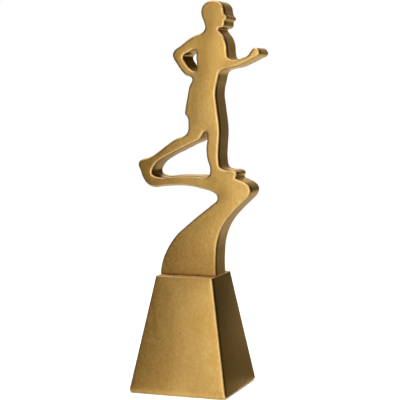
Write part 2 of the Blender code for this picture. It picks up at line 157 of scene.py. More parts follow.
# In order: painted light on the chest and arms, broad painted shade, patina that is partly painted
# shade, near-black painted shade, and pale worn metal that is partly a painted highlight.
PAINTED_LIGHT_TONE = (0.66, 0.41, 0.112)
BROAD_SHADE_TONE = (0.27, 0.148, 0.034)
PATINA_AND_SHADE_TONE = (0.17, 0.100, 0.034)
DEEP_SHADE_TONE = (0.055, 0.030, 0.006)
WORN_SHEEN_TONE = (0.66, 0.47, 0.24)
# What the metal does to light that grazes it: bare, under patina and painted shade, and under the
# near-black painted shade.
BARE_TINT = (1.0, 0.87, 0.66)
PATINA_AND_SHADE_TINT = (0.82, 0.69, 0.49)
DEEP_SHADE_TINT = (0.60, 0.40, 0.20)
# Spans: two values of the thing named, and the amounts at them.
PAINTED_LIGHT_LOW = (232 * MM, 246 * MM, 0.0, 0.35)  # height: chest and arms, painted lighter as painted light
PAINTED_LIGHT_HIGH = (254 * MM, 266 * MM, 1.0, 0.0)
DECK_FADE = (90 * MM, 95 * MM, 1.0, 0.0)  # height: only the deck was left matt
MATT_TOP = (0.8, 0.97, 0.0, 0.75)  # upward part of the normal
BARE_TOP = (0.72, 0.97, 1.0, 0.0)  # the same: patina and the near-black painted shade stay off top faces
BARE_UNDERSIDE = (-0.5, -0.1, 0.1, 1.0)  # the same: little of it reaches undersides
BROAD_SHADE_SPECKLE = (0.35, 0.65, 0.8, 1.2)  # grain
WORN_SHEEN_SPECKLE = (0.25, 0.6, 0.5, 0.85)  # mottle
BRASS_ROUGHNESS = (0.25, 0.75, 0.33, 0.41)  # broad lines
GRAIN_RELIEF = 0.7
LINE_RELIEF = 0.6
RELIEF_HEIGHT = 0.03 * MM
BRUSHED = 0.35  # how much the upright brushing spreads reflections sideways
BRUSH_AXIS = (0.02, 0.05, 1.0)  # a little off upright, so that the deck has a direction too

# ---- the other materials: darkest and lightest colour, and the roughness of plated parts ----
FELT_TONES = ((0.008, 0.008, 0.009), (0.03, 0.03, 0.032))
IRON_TONES = ((0.05, 0.048, 0.046), (0.13, 0.12, 0.11))
TURNED_BRASS = ((0.52, 0.34, 0.11), (0.66, 0.47, 0.19), 0.28)
ZINC_PLATING = ((0.48, 0.49, 0.50), (0.62, 0.63, 0.63), 0.34)

# ---- camera: place, direction and lens that give the viewing angle ----
CAMERA_AZIMUTH = radians(19.44)
CAMERA_PITCH = radians(4.92)
CAMERA_PLACE = Vector((0.3407, -0.9510, 0.2278))
CAMERA_LENS = 122.3  # mm
CAMERA_SENSOR = 36  # mm wide

# ---- lights ----
# Softboxes side by side in front of the trophy: name, left and right side in X, brightness, tint.
CARDS = [
    ("warm_card", -0.32, -0.08, 0.15, (1.0, 0.76, 0.40)),
    ("key_card", -0.08, 0.07, 2.60, (1.0, 1.0, 1.0)),
    ("fill_card", 0.07, 0.33, 1.45, (1.0, 1.0, 1.0)),
]
CARD_DISTANCE = 0.5
CARD_CENTRE = 0.22  # height of their middle
CARD_HEIGHT = 0.60
OVERHEAD_SIZE = 1.6
OVERHEAD_HEIGHT = 1.5
OVERHEAD_BRIGHTNESS = 2.6

# ---- studio ----
STUDIO_TINT = (1.0, 0.97, 0.90, 1)
WHITE = (1, 1, 1, 1)
# Brightness of the studio walls round the trophy against azimuth in degrees: 0 is the front,
# 90 the side the figure runs to.
STUDIO_RING = [
    (-180, 1.60), (-165, 2.20), (-150, 1.60), (-135, 0.25), (-110, 0.05), (-64, 0.05),
    (-53, 0.60), (-42, 0.50), (-33, 0.10), (-28, 0.05), (-10, 0.30), (10, 0.95), (30, 1.50),
    (60, 1.50), (75, 0.80), (88, 0.20), (100, 0.04), (148, 0.05), (156, 0.14), (165, 0.46),
    (180, 1.60),
]
# Share of that brightness against height in degrees, and the glow of the ceiling.
STUDIO_HEIGHT = [(0, 1.0), (8, 1.0), (17, 0.35), (30, 0.15), (90, 0.1)]
CEILING = [(0, 0.0), (28, 0.0), (45, 1.1), (62, 1.8), (90, 1.8)]
GROUND = 0.35  # brightness of the studio below the horizon
GROUND_BLEND = (-0.30, -0.18)  # sine of the heights between which the ground takes over

# ---- floor ----
FLOOR_RADIUS = 1.2
FLOOR_STEPS = 96
FLOOR_TONES = ((0.90, 0.90, 0.90), (0.93, 0.93, 0.93))
FLOOR_FADE = (0.15, 1.1)  # distances over which it turns into the white surroundings
FLOOR_DIM_SIDE = (-0.30, -0.06, 0.08, 1.0)  # places in X, and how bright the floor mirrors there
# How bright the floor mirrors against depth in metres: most just before the base, less beside
# it, least close behind it, and bright again further back.
FLOOR_GLOW = [
    (-1.2, 1.20), (-0.16, 1.10), (-0.10, 1.25), (-0.042, 1.5), (-0.030, 0.5), (0.03, 0.90),
    (0.07, 0.40), (0.2, 0.40), (0.5, 1.3), (1.2, 1.2),
]


# ---- reading the CAD frame ----
def cad_loops(node, y):
    """Closed loops of a node's edges in the plane at y, as (x, z) arrays, largest first."""
    bm = bmesh.new()
    bm.from_mesh(frame["nodes"][node].data)
    bmesh.ops.remove_doubles(bm, verts=bm.verts, dist=WELD)
    links = {}
    for edge in bm.edges:
        if all(abs(vert.co.y - y) < PLANE_TOLERANCE for vert in edge.verts):
            link(links, *edge.verts)
    loops = [
        np.array([(vert.co.x, vert.co.z) for vert in loop]) for loop in walk_loops(links)
    ]
    bm.free()
    return sorted(loops, key=lambda loop: -abs(signed_area(loop)))


def link(links, first, second):
    """Note in a table that two points are neighbours."""
    links.setdefault(first, []).append(second)
    links.setdefault(second, []).append(first)


def walk_loops(links):
    """Closed chains from a table of each point's two neighbours."""
    loops = []
    while links:
        here = next(iter(links))
        loop = [here]
        while True:
            onward = [point for point in links.pop(here) if point in links]
            if not onward:
                break
            here = onward[0]
            loop.append(here)
        loops.append(loop)
    return loops


def signed_area(loop):
    x, z = loop.T
    return 0.5 * float(np.sum(x * np.roll(z, -1) - np.roll(x, -1) * z))


def shoulder_of_plate():
    """The front plane in which the CAD plate's wall ends and its rim begins."""
    points = np.array([vert.co for vert in frame["nodes"]["figure_plate"].data.vertices])
    low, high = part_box("figure_plate")
    height = points[:, 2]
    y = points[(height > low.z + FOOT_ZONE) & (height < high.z - TOP_ZONE), 1]
    return float(y[y > low.y + CAD_RIM_LEAST].min())


def base_halves():
    """Half widths of the base at its foot and at its deck, from its largest side face."""
    low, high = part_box("base_shell")
    faces = frame["nodes"]["base_shell"].data.polygons
    outside = [face for face in faces if face.normal.x > SIDEWAYS and face.center.x > 0]
    side = max(outside, key=lambda face: face.area)
    slope = side.normal.z / side.normal.x
    return [side.center.x - (z - side.center.z) * slope for z in (low.z, high.z)]


# ---- smooth outlines ----
def end_tangents(loop):
    """Lengths of a loop's edges, and the directions in which a curve leaves and arrives.

    Long edges stay straight and sharp corners stay sharp.
    """
    along = np.roll(loop, -1, axis=0) - loop
    length = np.linalg.norm(along, axis=1)
    slope = along / length[:, None]
    slope_before = np.roll(slope, 1, axis=0)
    length_before = np.roll(length, 1)
    tangent = slope * length_before[:, None] + slope_before * length[:, None]
    tangent /= np.linalg.norm(tangent, axis=1)[:, None]
    straight = length > STRAIGHT_RUN
    straight_before = np.roll(straight, 1)
    corner = (slope * slope_before).sum(axis=1) < CORNER_COSINE
    leaving = np.where((straight | corner)[:, None], slope, tangent)
    leaving = np.where((straight_before & ~corner)[:, None], slope_before, leaving)
    arriving = np.where((straight_before | corner)[:, None], slope_before, tangent)
    arriving = np.where((straight & ~corner)[:, None], slope, arriving)
    return length, leaving, arriving


def smooth_loop(loop):
    """A closed curve through the points, resampled at even steps."""
    length, leaving, arriving = end_tangents(loop)
    t = np.linspace(0, 1, CURVE_STEPS, endpoint=False)[:, None]
    pieces = []
    for i in range(len(loop)):
        j = (i + 1) % len(loop)
        pieces.append(
            (2 * t**3 - 3 * t**2 + 1) * loop[i] + (t**3 - 2 * t**2 + t) * leaving[i] * length[i]
            + (3 * t**2 - 2 * t**3) * loop[j] + (t**3 - t**2) * arriving[j] * length[i]
        )
    dense = np.vstack(pieces)
    closed = np.vstack([dense, dense[:1]])
    steps = np.linalg.norm(np.diff(closed, axis=0), axis=1)
    distance = np.concatenate([[0], np.cumsum(steps)])
    count = int(round(distance[-1] / OUTLINE_STEP))
    wanted = np.linspace(0, distance[-1], count, endpoint=False)
    return np.stack([np.interp(wanted, distance, closed[:, axis]) for axis in (0, 1)], axis=1)


def inward_normals(loop, hole):
    """Unit normals in the plane that point into the metal."""
    tangent = np.roll(loop, -1, axis=0) - np.roll(loop, 1, axis=0)
    tangent /= np.linalg.norm(tangent, axis=1)[:, None]
    normal = np.stack([-tangent[:, 1], tangent[:, 0]], axis=1)
    turn = 1 if (signed_area(loop) > 0) != hole else -1
    return normal * turn


def inscribed_radius(loop, inward, everything, largest):
    """Radius of the largest circle inside the metal that touches the outline at each point."""
    radius = np.full(len(loop), largest)
    for i, (point, normal) in enumerate(zip(loop, inward)):
        offset = everything - point
        depth = offset @ normal
        ahead = depth > TINY
        if ahead.any():
            circles = (offset[ahead] ** 2).sum(1) / (2 * depth[ahead])
            radius[i] = min(largest, circles.min())
    return radius


# ---- the rim and the crowned face ----
def rim_rings(outline, inward, everything, foot):
    """The rings of the rim, from the wall inwards: (points, how far below the face)."""
    grown = np.interp(outline[:, 1] - foot, FOOT_FADE, (FOOT_SHARE, 1.0))
    radius = RIM_RADIUS * grown
    room = CORNER_SHARE * inscribed_radius(outline, inward, everything, RIM_RADIUS / CORNER_SHARE)
    rings = []
    for angle in np.linspace(0, pi / 2, RIM_STEPS + 1):
        inset = np.minimum(radius, room) * (1 - cos(angle))
        drop = radius - np.sqrt(radius**2 - (radius - inset) ** 2)
        rings.append((outline + inward * inset[:, None], CROWN * grown + drop))
    return rings


def crown_drop(distance):
    """First guess of the face's drop below its middle, at a distance in from the outline."""
    return CROWN * np.exp(-np.maximum(distance - RIM_RADIUS, 0) / CROWN_REACH)


def inside_points(loops, everything):
    """A triangular grid of points well inside the rim, with their distances to the outline."""
    low, high = everything.min(0), everything.max(0)
    points = []
    rows = np.arange(low[1], high[1], CROWN_SPACING * sqrt(0.75))
    for number, z in enumerate(rows):
        shift = CROWN_SPACING / 2 * (number % 2)
        columns = np.arange(low[0] + shift, high[0], CROWN_SPACING)
        points.append(np.stack([columns, np.full(len(columns), z)], axis=1))
    points = np.vstack(points)
    points = points[inside_metal(loops, points)]
    distance = np.array([np.sqrt(((everything - p) ** 2).sum(1).min()) for p in points])
    keep = distance > RIM_RADIUS + CROWN_SPACING / 2
    return points[keep], distance[keep]


def inside_metal(loops, points):
    """Whether each point lies inside the outline and outside the windows, by crossings."""
    inside = np.zeros(len(points), bool)
    x, z = points.T
    for loop in loops:
        for (x0, z0), (x1, z1) in zip(loop, np.roll(loop, -1, axis=0)):
            crosses = (z0 > z) != (z1 > z)
            if crosses.any():
                inside ^= crosses & (x < x0 + (z - z0) / (z1 - z0) * (x1 - x0))
    return inside


def smooth_field(values, fixed, edges):
    """Average each free value with its neighbours' over and over."""
    first, second = edges.T
    count = np.bincount(edges.ravel(), minlength=len(values))
    for _ in range(CROWN_SMOOTHINGS):
        total = np.bincount(first, values[second], len(values))
        total += np.bincount(second, values[first], len(values))
        values = np.where(fixed, values, total / count)
    return values


def border_edges(outlines):
    """Pairs of indexes that close each outline, when they are stacked one after another."""
    edges = []
    start = 0
    for outline in outlines:
        count = len(outline)
        edges += [(start + i, start + (i + 1) % count) for i in range(count)]
        start += count
    return edges


def face_mesh(rings, everything, foot):
    """Points, drops and triangles of the crowned face inside the given rim rings."""
    outlines = [ring for ring, _ in rings]
    borders = np.vstack(outlines)
    border_drops = np.concatenate([drop for _, drop in rings])
    rounded = everything[everything[:, 1] > foot + FOOT_FADE[0]]
    points, distance = inside_points(outlines, rounded)
    flat = [Vector(point) for point in np.vstack([borders, points])]
    corners, _, triangles, _, _, _ = delaunay_2d_cdt(flat, border_edges(outlines), [], 1, TINY)
    triangles = np.array(triangles)
    centres = np.array(corners)[triangles].mean(axis=1)
    triangles = triangles[inside_metal(outlines, centres)]
    sides = np.vstack([triangles[:, pair] for pair in ([0, 1], [1, 2], [0, 2])])
    sides = np.unique(np.sort(sides, axis=1), axis=0)
    drops = np.concatenate([border_drops, crown_drop(distance)])
    fixed = np.arange(len(drops)) < len(borders)
    drops = smooth_field(drops, fixed, sides)
    return points, drops[len(borders):], triangles


# ---- small mesh helpers ----
def new_piece(name, bm, material, node):
    """A smooth object from a bmesh, which rides on the one body and stands for a CAD node."""
    mesh = bpy.data.meshes.new(name)
    bm.to_mesh(mesh)
    bm.free()
    mesh.materials.append(material)
    mesh.shade_smooth()
    mesh.set_sharp_from_angle(angle=SMOOTH_ANGLE)
    piece = bpy.data.objects.new(name, mesh)
    bpy.context.scene.collection.objects.link(piece)
    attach(piece, "root")
    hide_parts(node)


def add_ring(bm, flat, y):
    """Vertices from (x, z) points and a depth for each."""
    return [bm.verts.new((x, depth, z)) for (x, z), depth in zip(flat, y)]


def bridge(bm, ring_a, ring_b):
    """Quads between two closed rings of equal length."""
    for i in range(len(ring_a)):
        j = (i + 1) % len(ring_a)
        bm.faces.new((ring_a[i], ring_a[j], ring_b[j], ring_b[i]))


def fill_between(bm, rings, normal):
    """Triangles over a flat region bounded by an outer ring and any holes."""
    edges = []
    for ring in rings:
        for i, vert in enumerate(ring):
            pair = (vert, ring[(i + 1) % len(ring)])
            edges.append(bm.edges.get(pair) or bm.edges.new(pair))
    bmesh.ops.triangle_fill(bm, use_beauty=True, edges=edges, normal=normal)


def hole_mouth(bm, x, radius, z):
    """A ring of vertices round a hole whose axis is upright and crosses the X axis."""
    ring = []
    for i in range(HOLE_STEPS):
        angle = 2 * pi * i / HOLE_STEPS
        ring.append(bm.verts.new((x + radius * cos(angle), radius * sin(angle), z)))
    return ring


def blind_hole(bm, mouth, z_end):
    """The wall and end of a hole that starts at a ring of vertices."""
    end = [bm.verts.new((vert.co.x, vert.co.y, z_end)) for vert in mouth]
    bridge(bm, mouth, end)
    bm.faces.new(end)


# ---- marks of age and use, and painted light and shade ----
def amount_at(place, stops):
    """The amount at a place, on straight lines between (place, amount) stops."""
    return float(np.interp(place, *zip(*stops)))


def mark(bm, marks_at):
    """Store the pale worn rims with their painted highlight, the near-black painted shade, the
    patina with its painted shade and the broad painted shade that a function gives for a vertex's
    place.
    """
    names = ("wear_and_sheen", "deep_shade", "patina_and_shade", "broad_shade")
    layers = [bm.verts.layers.float.new(name) for name in names]
    for vert in bm.verts:
        for layer, amount in zip(layers, marks_at(vert.co)):
            vert[layer] = amount


def plate_marks(place, half, windows):
    """Pale worn rims, partly a painted highlight; near-black painted shade behind the front rim
    and in the windows; patina, partly painted shade, on the walls.

    The rear elbow gets painted shade instead of a pale rim. A broad painted shade deepens towards
    the rear and the foot.
    """
    behind = (half - abs(place.y) - CROWN) / RIM_RADIUS
    # Near-black painted shade: a dark line behind the front rim only.
    deep_shade = amount_at(behind, RIM_SHADE) * (place.y < 0)
    # Painted shade on the window walls.
    if behind > WALL_START and windows.find((place.x, 0, place.z))[2] < WINDOW_REACH:
        deep_shade = max(deep_shade, amount_at(place.z, WINDOW_SHADE))
    # Patina, partly painted shade: darker towards the front face and lower down.
    patina_and_shade = amount_at(behind, WALL_PATINA_SHADE) * amount_at(place.z, PATINA_SHADE_HEIGHTS)
    patina_and_shade *= amount_at(place.y, [(-half, 1.0), (half, WALL_PATINA_SHADE_BACK)])
    elbow = amount_at(place.x, ELBOW_SIDE) * amount_at(place.z, ELBOW_HEIGHTS)
    # Pale worn rims, partly a painted highlight, left out at the elbow.
    wear_and_sheen = amount_at(behind, RIM_WEAR_SHEEN) * (1 - elbow)
    deep_shade = max(deep_shade, elbow * amount_at(behind, ELBOW_SHADE))
    # Broad painted shade: darker towards the rear, the foot and the elbow.
    broad_shade = amount_at(place.x, TOWARDS_REAR) * amount_at(place.z, REAR_SHADE)
    broad_shade += amount_at(place.z, LOW_SHADE) + ELBOW_BROAD_SHADE * elbow
    return wear_and_sheen, deep_shade, patina_and_shade, min(1.0, broad_shade)


def base_marks(place, deck):
    """Pale worn upright edges and deck's edge, partly a painted highlight; near-black painted
    shade and patina, partly painted shade, on the two side faces.
    """
    off_edge = abs(abs(place.x) - abs(place.y)) / BASE_EDGE
    # Pale worn edges, partly a painted highlight.
    wear_and_sheen = max(amount_at(off_edge, EDGE_WEAR_SHEEN), amount_at(deck - place.z, DECK_WEAR_SHEEN))
    # Broad painted shade, darker towards the rear.
    broad_shade = BASE_SHADE * amount_at(place.x, TOWARDS_REAR)
    if abs(place.x) < abs(place.y):
        return wear_and_sheen, 0.0, 0.0, broad_shade
    # Near-black painted shade just behind the front edges.
    deep_shade = amount_at(off_edge, EDGE_SHADE) * (place.y < 0)
    patina_and_shade = amount_at(off_edge, SIDE_PATINA_SHADE) * amount_at(place.y, SIDE_PATINA_SHADE_DEPTHS)
    return wear_and_sheen, deep_shade, patina_and_shade, broad_shade


def window_tree(outlines):
    """The windows' outlines, for finding the vertices that lie on their walls."""
    points = np.vstack(outlines)
    tree = KDTree(len(points))
    for number, (x, z) in enumerate(points):
        tree.insert((x, 0, z), number)
    tree.balance()
    return tree


# ---- figure plate ----
def build_plate(material):
    """The plate: two crowned faces with rounded rims, the walls between them and the foot."""
    low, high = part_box("figure_plate")
    half = (high.y - low.y) / 2
    outlines = [smooth_loop(loop) for loop in cad_loops("figure_plate", shoulder_of_plate())]
    everything = np.vstack(outlines)
    rims = []
    for number, outline in enumerate(outlines):
        inward = inward_normals(outline, hole=number > 0)
        rims.append(rim_rings(outline, inward, everything, low.z))
    crowned = face_mesh([rim[-1] for rim in rims], everything, low.z)

    bm = bmesh.new()
    walls = {side: build_side(bm, side, half, rims, crowned) for side in (-1, 1)}
    build_walls(bm, walls, half - CROWN - RIM_RADIUS, low.z)
    windows = window_tree(outlines[1:])
    mark(bm, lambda place: plate_marks(place, half, windows))
    bmesh.ops.recalc_face_normals(bm, faces=bm.faces)
    new_piece("figure_plate_fine", bm, material, "figure_plate")


def build_side(bm, side, half, rims, crowned):
    """The front (-1) or back (1) face with its rims; returns the rims' rings at the walls."""
    points, drops, triangles = crowned
    at_walls = []
    face = []
    for rim in rims:
        rings = [add_ring(bm, flat, side * (half - depth)) for flat, depth in rim]
        for ring_a, ring_b in zip(rings, rings[1:]):
            bridge(bm, ring_a, ring_b)
        at_walls.append(rings[0])
        face += rings[-1]
    face += add_ring(bm, points, side * (half - drops))
    for corners in triangles:
        bm.faces.new([face[i] for i in corners])
    return at_walls


def build_walls(bm, walls, edge, foot):
    """Walls between the two rims; the flat foot keeps the insert pocket and dowel holes."""
    depths = [-edge + row for row in WALL_ROWS] + [edge - row for row in reversed(WALL_ROWS)]
    for number, (front, back) in enumerate(zip(walls[-1], walls[1])):
        flat = [(vert.co.x, vert.co.z) for vert in front]
        rows = [front] + [add_ring(bm, flat, [y] * len(flat)) for y in depths] + [back]
        at_foot = [abs(vert.co.z - foot) < LEVEL_TOLERANCE for vert in front]
        for row_a, row_b in zip(rows, rows[1:]):
            for i in range(len(front)):
                j = (i + 1) % len(front)
                if not (at_foot[i] and at_foot[j]):
                    bm.faces.new((row_a[i], row_a[j], row_b[j], row_b[i]))
        if number == 0:
            close_foot(bm, rows, foot_run(at_foot), foot)


def close_foot(bm, rows, run, foot):
    """The flat underside, with the pocket and the two dowel holes going up from it."""
    outline = [rows[0][i] for i in run] + [row[run[-1]] for row in rows[1:-1]]
    outline += [rows[-1][i] for i in reversed(run)]
    outline += [row[run[0]] for row in reversed(rows[1:-1])]
    holes = []
    for node in ("figure_insert", "dowel_left", "dowel_right"):
        low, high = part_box(node)
        radius = (high.x - low.x) / 2 + CLEARANCE
        mouth = hole_mouth(bm, (low.x + high.x) / 2, radius, foot)
        holes.append((mouth, high.z + CLEARANCE))
    fill_between(bm, [outline] + [mouth for mouth, _ in holes], (0, 0, -1))
    for mouth, z_end in holes:
        blind_hole(bm, mouth, z_end)
    # The walls' inner rows have no faces along the foot, so their vertices there are loose.
    for vert in [vert for vert in bm.verts if not vert.link_faces]:
        bm.verts.remove(vert)


def foot_run(at_foot):
    """Indexes of the one unbroken run of True values, in order."""
    count = len(at_foot)
    start = next(i for i in range(count) if at_foot[i] and not at_foot[i - 1])
    run = [start]
    while at_foot[(run[-1] + 1) % count]:
        run.append((run[-1] + 1) % count)
    return run


# ---- base ----
def rounded_square(half, radius, bulge):
    """Points of a rounded square with slightly swollen sides, anticlockwise from above."""
    points = []
    straight = half - radius
    for quarter in range(4):
        turn = Matrix.Rotation(quarter * pi / 2, 2)
        for step in range(SIDE_STEPS):
            along = -1 + 2 * step / SIDE_STEPS
            swell = bulge * (1 - along**2)
            points.append(turn @ Vector((half + swell, along * straight)))
        for step in range(CORNER_STEPS):
            angle = step / CORNER_STEPS * pi / 2
            corner = Vector((straight + radius * cos(angle), straight + radius * sin(angle)))
            points.append(turn @ corner)
    return points


def base_rows(low, high, foot_half, top_half):
    """Height and half width of each ring of the base, from bottom to top."""
    rows = []

    def half_at(z):
        return foot_half + (top_half - foot_half) * (z - low) / (high - low)

    for angle in np.linspace(pi / 2, 0, ROUND_STEPS):
        z = low + BASE_FOOT_ROUND * (1 - sin(angle))
        rows.append((z, half_at(z) - BASE_FOOT_ROUND * (1 - cos(angle))))
    for z in np.linspace(low + BASE_FOOT_ROUND, high - BASE_TOP_ROUND, HEIGHT_STEPS)[1:]:
        rows.append((z, half_at(z)))
    for angle in np.linspace(0, pi / 2, ROUND_STEPS)[1:]:
        z = high - BASE_TOP_ROUND * (1 - sin(angle))
        rows.append((z, half_at(z) - BASE_TOP_ROUND * (1 - cos(angle))))
    return rows


def build_base(material):
    """The base: a tapered skin of rounded squares round the CAD base's inside."""
    low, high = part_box("base_shell")
    foot_half, top_half = base_halves()
    bm = bmesh.new()
    rings = []
    for z, half in base_rows(low.z, high.z, foot_half, top_half):
        level = 2 * (z - low.z) / (high.z - low.z) - 1
        bulge = BASE_BULGE * (1 - level**4)
        points = rounded_square(half, BASE_EDGE, bulge)
        rings.append([bm.verts.new((point.x, point.y, z)) for point in points])
    for lower, upper in zip(rings, rings[1:]):
        bridge(bm, lower, upper)
    join_inside(bm, rings[0], rings[-1])
    mark(bm, lambda place: base_marks(place, high.z))
    bmesh.ops.recalc_face_normals(bm, faces=bm.faces)
    new_piece("base_shell_fine", bm, material, "base_shell")


def join_inside(bm, lowest, highest):
    """Add the CAD base's cavity, recess and holes, and close the rim and the deck round them."""
    outer = set(bm.verts)
    low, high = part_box("base_shell")
    bm.from_mesh(frame["nodes"]["base_shell"].data)
    inside = [vert for vert in bm.verts if vert not in outer]
    bmesh.ops.remove_doubles(bm, verts=inside, dist=WELD)
    halves = base_halves()
    cad_faces = [face for face in bm.faces if face.verts[0] not in outer]
    doomed = [face for face in cad_faces if on_outside(face, low.z, high.z, halves)]
    bmesh.ops.delete(bm, geom=doomed, context="FACES")
    for ring, z, normal in ((lowest, low.z, (0, 0, -1)), (highest, high.z, (0, 0, 1))):
        mouths = open_loops(bm, outer, z)
        fill_between(bm, [ring] + mouths, normal)


def on_outside(face, low, high, halves):
    """Whether a face of the CAD base belongs to its sides, its lowest rim or its deck."""
    foot_half, top_half = halves
    centre = face.calc_center_median()
    share = (centre.z - low) / (high - low)
    half = foot_half + (top_half - foot_half) * share
    near_side = max(abs(centre.x), abs(centre.y)) > half - OUTER_SKIN
    heights = [vert.co.z for vert in face.verts]
    on_rim = max(heights) < low + LEVEL_TOLERANCE
    on_deck = min(heights) > high - LEVEL_TOLERANCE
    return near_side or on_rim or on_deck


def open_loops(bm, outer, z):
    """Rings of open edges at a height, other than those of the outer skin."""
    links = {}
    for edge in bm.edges:
        first, second = edge.verts
        level = all(abs(vert.co.z - z) < LEVEL_TOLERANCE for vert in edge.verts)
        if level and edge.is_boundary and first not in outer:
            link(links, first, second)
    return walk_loops(links)


# ---- materials ----
# Sockets of a Mix node: amount, first and second value, and the result.
COLOUR_MIX_INPUTS = (0, 6, 7)
COLOUR_MIX_RESULT = 2
NUMBER_MIX_INPUTS = (0, 2, 3)
NUMBER_MIX_RESULT = 0


class Graph:
    """A short way to write a node tree: each call adds nodes and returns an output."""

    def __init__(self, tree):
        self.tree = tree
        self.tree.nodes.clear()

    def add(self, kind, inputs=(), **settings):
        """Add one node and return the node itself."""
        node = self.tree.nodes.new(kind)
        for name, value in settings.items():
            setattr(node, name, value)
        for key, value in dict(inputs).items():
            if isinstance(value, bpy.types.NodeSocket):
                self.tree.links.new(value, node.inputs[key])
            else:
                node.inputs[key].default_value = value
        return node

    def place(self):
        return self.add("ShaderNodeTexCoord").outputs["Object"]

    def normal(self):
        return self.add("ShaderNodeNewGeometry").outputs["Normal"]

    def attribute(self, name):
        return self.add("ShaderNodeAttribute", attribute_name=name).outputs["Fac"]

    def axes(self, vector):
        return self.add("ShaderNodeSeparateXYZ", {"Vector": vector}).outputs

    def stretch(self, vector, scale):
        inputs = {"Vector": vector, "Scale": scale}
        return self.add("ShaderNodeMapping", inputs).outputs["Vector"]

    def noise(self, vector, scale, detail, roughness):
        inputs = {"Vector": vector, "Scale": scale, "Detail": detail, "Roughness": roughness}
        return self.add("ShaderNodeTexNoise", inputs).outputs["Fac"]

    def span(self, value, low, high, to_low=0.0, to_high=1.0):
        """A smooth step from one amount at the low value to another at the high value."""
        inputs = {
            "Value": value, "From Min": low, "From Max": high,
            "To Min": to_low, "To Max": to_high,
        }
        node = self.add("ShaderNodeMapRange", inputs, interpolation_type="SMOOTHSTEP")
        return node.outputs["Result"]

    def ramp(self, value, stops):
        """A smooth curve through (position, brightness) stops."""
        low, high = stops[0][0], stops[-1][0]
        node = self.add("ShaderNodeFloatCurve")
        curve = node.mapping.curves[0]
        top = max(brightness for _, brightness in stops)
        for number, (position, brightness) in enumerate(stops):
            x = (position - low) / (high - low)
            if number < 2:  # a new curve already has two points
                point = curve.points[number]
                point.location = (x, brightness / top)
            else:
                point = curve.points.new(x, brightness / top)
            point.handle_type = "AUTO_CLAMPED"
        node.mapping.update()
        share = self.add("ShaderNodeMapRange", {"Value": value, "From Min": low, "From Max": high})
        self.tree.links.new(share.outputs["Result"], node.inputs["Value"])
        return self.math("MULTIPLY", node.outputs["Value"], top)

    def math(self, operation, first, second=0.0):
        inputs = {0: first, 1: second}
        return self.add("ShaderNodeMath", inputs, operation=operation).outputs["Value"]

    def mix(self, amount, first, second):
        """Blend two colours, each given as a socket or as linear RGB."""
        values = [(*value, 1) if isinstance(value, tuple) else value for value in (first, second)]
        inputs = dict(zip(COLOUR_MIX_INPUTS, (amount, *values)))
        node = self.add("ShaderNodeMix", inputs, data_type="RGBA")
        return node.outputs[COLOUR_MIX_RESULT]

    def mix_numbers(self, amount, first, second):
        inputs = dict(zip(NUMBER_MIX_INPUTS, (amount, first, second)))
        return self.add("ShaderNodeMix", inputs, data_type="FLOAT").outputs[NUMBER_MIX_RESULT]

    def bump(self, height, distance):
        inputs = {"Height": height, "Distance": distance, "Strength": 1.0}
        return self.add("ShaderNodeBump", inputs).outputs["Normal"]

    def across(self):
        """The level direction in the surface, along which upright brushing spreads light."""
        inputs = {0: self.normal(), 1: BRUSH_AXIS}
        node = self.add("ShaderNodeVectorMath", inputs, operation="CROSS_PRODUCT")
        return node.outputs["Vector"]

    def surface(self, colour, roughness, metallic, normal, extra=()):
        inputs = {
            "Base Color": colour, "Roughness": roughness, "Metallic": metallic, "Normal": normal,
        }
        shader = self.add("ShaderNodeBsdfPrincipled", {**inputs, **dict(extra)})
        self.add("ShaderNodeOutputMaterial", {"Surface": shader.outputs["BSDF"]})


def new_material(name):
    material = bpy.data.materials.new(name)
    material.use_nodes = True
    return material, Graph(material.node_tree)


def antique_brass():
    """Brown-gold brushed brass: upright brush lines, patches of patina, pale worn edges that are
    partly a painted highlight, and painted light and shade in its colour.
    """
    material, g = new_material("antique_brass_brushed")
    place = g.place()
    patterns = {
        name: g.noise(g.stretch(place, stretch), scale, detail, roughness)
        for name, (stretch, scale, detail, roughness) in BRASS_PATTERNS.items()
    }
    height = g.axes(place)["Z"]
    lift = g.axes(g.normal())["Z"]
    # Patina and the near-black painted shade stay off top faces and are faint on undersides.
    kept = g.math("MULTIPLY", g.span(lift, *BARE_TOP), g.span(lift, *BARE_UNDERSIDE))
    patina_and_shade = g.math("MULTIPLY", g.attribute("patina_and_shade"), kept)
    # The near-black painted shade.
    deep_shade = g.math("MULTIPLY", g.attribute("deep_shade"), kept)
    tone = aged_and_shaded_tone(g, brushed_and_lit_tone(g, patterns, height), patterns, patina_and_shade, deep_shade)
    rough = g.span(patterns["broad_lines"], *BRASS_ROUGHNESS)
    matt = g.math("MULTIPLY", g.span(lift, *MATT_TOP), g.span(height, *DECK_FADE))
    grain_relief = g.math("MULTIPLY", patterns["grain"], GRAIN_RELIEF)
    line_relief = g.math("MULTIPLY", patterns["broad_lines"], LINE_RELIEF)
    normal = g.bump(g.math("ADD", grain_relief, line_relief), RELIEF_HEIGHT)
    # The grazing tint follows the patina and the near-black painted shade.
    tint = g.mix(deep_shade, g.mix(patina_and_shade, BARE_TINT, PATINA_AND_SHADE_TINT), DEEP_SHADE_TINT)
    extra = {"Tangent": g.across(), "Anisotropic": BRUSHED, "Specular Tint": tint}
    g.surface(tone, g.math("MAXIMUM", rough, matt), 1.0, normal, extra)
    return material


def brushed_and_lit_tone(g, patterns, height):
    """The bare metal's colour: brush lines, patches and a painted light on the chest and arms."""
    tone = BRASS_GROUND
    for pattern, start, full, share, colour in BRASS_LAYERS:
        tone = g.mix(g.span(patterns[pattern], start, full, 0.0, share), tone, colour)
    # Painted light on the chest and arms.
    painted_light = g.math("MULTIPLY", g.span(height, *PAINTED_LIGHT_LOW), g.span(height, *PAINTED_LIGHT_HIGH))
    return g.mix(painted_light, tone, PAINTED_LIGHT_TONE)


